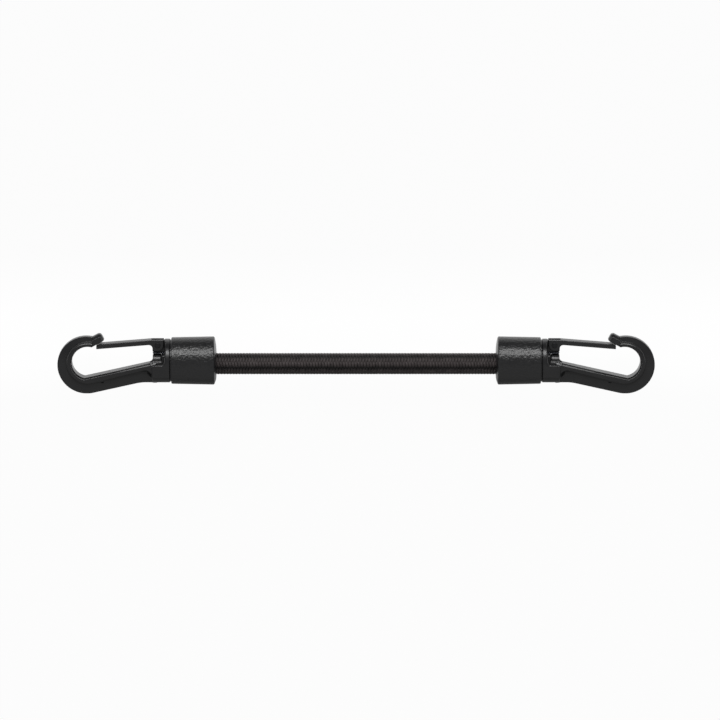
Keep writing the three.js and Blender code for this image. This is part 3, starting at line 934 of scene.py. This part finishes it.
def yarn(lead, way, places):
    """Rings of points along one yarn, which goes over one yarn and under the next in turn."""
    angle = turn_about_cord(lead, way, places)
    wave = np.tanh(CROSSING_SHARPNESS * np.cos(wale(angle))) / math.tanh(CROSSING_SHARPNESS)
    radius = BRAID_RADIUS - YARN_THICKNESS / 2 - YARN_LIFT + way * YARN_LIFT * wave
    radius -= GROOVE_DEPTH * groove(angle)
    outward = np.stack([np.zeros_like(angle), np.cos(angle), np.sin(angle)], 1)
    middle = radius[:, None] * outward
    middle[:, 0] = places
    across = unit(np.cross(outward, np.gradient(middle, axis=0)))
    corner = (np.arange(YARN_SIDES) - 0.5) * 2 * math.pi / YARN_SIDES
    wide = YARN_WIDTH / 2 * np.cos(corner)[None, :, None] * across[:, None]
    high = YARN_THICKNESS / 2 * np.sin(corner)[None, :, None] * outward[:, None]
    return middle[:, None] + wide + high


def cord_tube(radius, places, sides, v=0.0, n=0.0):
    angles = np.arange(sides) * 2 * math.pi / sides
    rings = np.empty((len(places), sides, 3))
    rings[:, :, 0] = places[:, None]
    rings[:, :, 1] = v - radius * np.sin(angles)
    rings[:, :, 2] = n + radius * np.cos(angles)
    return rings


def cord_object(name, tubes, material):
    """One object of several closed tubes, each a stack of rings about the cord's axis."""
    points = []
    faces = []
    first = 0
    for rings in tubes:
        count, sides, _ = rings.shape
        sheet = ring_faces(count, sides)
        caps = [range(sides), range(count * sides - 1, (count - 1) * sides - 1, -1)]
        faces += [[first + corner for corner in face] for face in (*sheet.tolist(), *caps)]
        points.append(rings.reshape(-1, 3) + (0, AXIS_V + CORD_V, AXIS_N))
        first += count * sides
    made = bpy.data.objects.new(name, mesh_of(name, np.concatenate(points), faces, material))
    bpy.context.scene.collection.objects.link(made)
    return made


def on_cord(u):
    return (u * MM, (AXIS_V + CORD_V) * MM, AXIS_N * MM)


def stretching(piece, slot, *nodes):
    """The piece's placing is baked into its mesh, and the nodes that it stands for are hidden."""
    on_cord(-CAP_FACE)
    on_cord(CAP_FACE)
    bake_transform(piece)
    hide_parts(*nodes)


def braided_sheath():
    crossings = 2 * CORD_END / YARN_PITCH * 2 * YARNS_EACH_WAY
    places = np.linspace(-CORD_END, CORD_END, round(crossings * STEPS_PER_CROSSING))
    leads = np.arange(YARNS_EACH_WAY) * 2 * math.pi / YARNS_EACH_WAY + math.radians(BRAID_TURN)
    routes = [(lead, way, places) for way in (-1, 1) for lead in leads]
    yarns = [yarn(*route) for route in routes]
    liner = cord_tube(LINER_RADIUS, np.linspace(-CORD_END, CORD_END, CORD_RINGS), LINER_SIDES)
    sheath = cord_object("braided_sheath", [*yarns, liner], braided_yarn())
    starts = np.arange(len(yarns)) * 2 * CORD_END
    lengths = (starts[:, None] + places).repeat(YARN_SIDES)
    shares = np.tile(np.arange(YARN_SIDES) / YARN_SIDES, len(places) * len(yarns))
    # The groove profile, stored for the painted shade in the grooves
    depths = np.concatenate([groove(turn_about_cord(*route)) for route in routes]).repeat(YARN_SIDES)
    for name, numbers in (("round_yarn", shares), ("along_yarn", lengths), ("in_groove", depths)):
        values = np.zeros(len(sheath.data.vertices), np.float32)
        values[: len(numbers)] = numbers
        sheath.data.attributes.new(name, "FLOAT", "POINT").data.foreach_set("value", values)
    stretching(sheath, "braid", "cord_sheath")
    return sheath


def rubber_core():
    nodes = [f"rubber_strand_{i + 1}" for i in range(STRAND_COUNT)]
    places = np.linspace(-CORD_END, CORD_END, CORD_RINGS)
    strands = []
    for node in nodes:
        low, high = node_box(node)
        _, v, n = (low + high) / 2 - (0, CORD_V + CORD_SETTLING, 0)
        strands.append(cord_tube((high[1] - low[1]) / 2, places, STRAND_SIDES, v, n))
    core = cord_object("rubber_core", strands, natural_rubber())
    stretching(core, "rubber", *nodes)
    return core


def cord():
    sheath = braided_sheath()
    core = rubber_core()
    path = [on_cord(u) for u in np.linspace(-CORD_END, CORD_END, PATH_POINTS)]
    2 * CORD_END * MM


def studio():
    scene = bpy.context.scene
    scene.view_settings.view_transform = "Standard"
    scene.world = bpy.data.worlds.new("studio")
    room = NodeWeb(scene.world)
    direction = room.node("ShaderNodeTexCoord", output="Generated")
    side = room.node("ShaderNodeSeparateXYZ", None, {"Vector": direction}, "Y")
    shade = room.colour(
        0.5 + 0.5 * side,
        (0.38, (0.44, 0.44, 0.44)),
        (0.6, (0.17, 0.17, 0.17)),
        (0.76, (0.3, 0.3, 0.3)),
        (0.98, (0.03, 0.03, 0.03)),
    )
    seen = room.ray("Camera")
    white = (1, 1, 1, 1)
    shown = room.node("ShaderNodeMix", {"data_type": "RGBA"}, {0: seen, 6: shade, 7: white}, 2)
    room.feed(room.tree.nodes["Background"].inputs["Color"], shown)
    bpy.ops.mesh.primitive_plane_add(size=FLOOR_SIZE)
    floor = bpy.context.object
    floor.name = "floor"
    floor.data.materials.append(pale_floor())
    softbox("key", lean=55, distance=0.9, width=1.2, height=0.32, power=9.3)


def pale_floor():
    """White to the eye, and to gloss near the part; the floor's colour and what gloss sees elsewhere are a
    painted pool of light, with painted shade on the side away from the lamp and far from the part. A share
    is left for the part's shadow.
    """
    finish = Finish("pale_floor", Roughness=0.9)
    away = finish.node("ShaderNodeSeparateXYZ", None, {"Vector": finish.place()}, "Y")
    # Painted pool of light: white near the part, painted shade on the side away from the lamp and further
    # out on the lamp's side
    painted_light_pool = finish.colour(
        away * (1 / (PAINTED_POOL_WIDTH * MM)) + 0.5,
        (0.34, (0.2, 0.2, 0.2)),
        (0.47, (1, 1, 1)),
        (0.66, (1, 1, 1)),
        (0.92, (0.04, 0.04, 0.04)),
    )
    seen, gloss, through = (finish.ray(kind) for kind in ("Camera", "Glossy", "Transmission"))
    finish.paint(Base_Color=painted_light_pool)
    white = (1, 1, 1, 1)
    shade = finish.node("ShaderNodeMix", {"data_type": "RGBA"}, {0: seen, 6: painted_light_pool, 7: white}, 2)
    # The glow is white to the eye and shows gloss the painted pool of light and its painted shade
    glow = finish.node("ShaderNodeEmission", None, {"Color": shade})
    surface = Socket(finish, finish.surface.outputs[0])
    share = (FLOOR_GLOW * seen + gloss + through).below(1)
    shown = finish.node("ShaderNodeMixShader", None, {0: share, 1: surface, 2: glow})
    finish.feed(finish.tree.nodes["Material Output"].inputs["Surface"], shown)
    return finish.material


def softbox(name, lean, distance, width, height, power):
    """A soft lamp that leans from overhead towards the gates."""
    lamp = bpy.data.lights.new(name, "AREA")
    lamp.shape = "RECTANGLE"
    lamp.size = width
    lamp.size_y = height
    lamp.energy = power
    made = bpy.data.objects.new(name, lamp)
    tilt = math.radians(lean)
    made.location = (0, distance * math.sin(tilt), distance * math.cos(tilt))
    made.rotation_euler = (-tilt, 0, 0)
    bpy.context.scene.collection.objects.link(made)


def camera():
    distance = IMAGE_WIDTH_PX * MM_PER_PX * LENS_MM / SENSOR_MM
    tilt = math.radians(CAMERA_TILT)
    aim_u = (IMAGE_WIDTH_PX / 2 - MIDDLE_PX) * MM_PER_PX
    aim_v = AXIS_V + (AXIS_PX - IMAGE_WIDTH_PX / 2) * MM_PER_PX / math.cos(tilt)
    lens = bpy.data.cameras.new("camera")
    lens.lens = LENS_MM
    lens.sensor_width = SENSOR_MM
    made = bpy.data.objects.new("camera", lens)
    place = (aim_u, aim_v + distance * math.sin(tilt), AXIS_N + distance * math.cos(tilt))
    made.location = np.array(place) * MM
    made.rotation_euler = (-tilt, 0, 0)
    bpy.context.scene.collection.objects.link(made)
    bpy.context.scene.camera = made


camera()
cord()
ends()
studio()
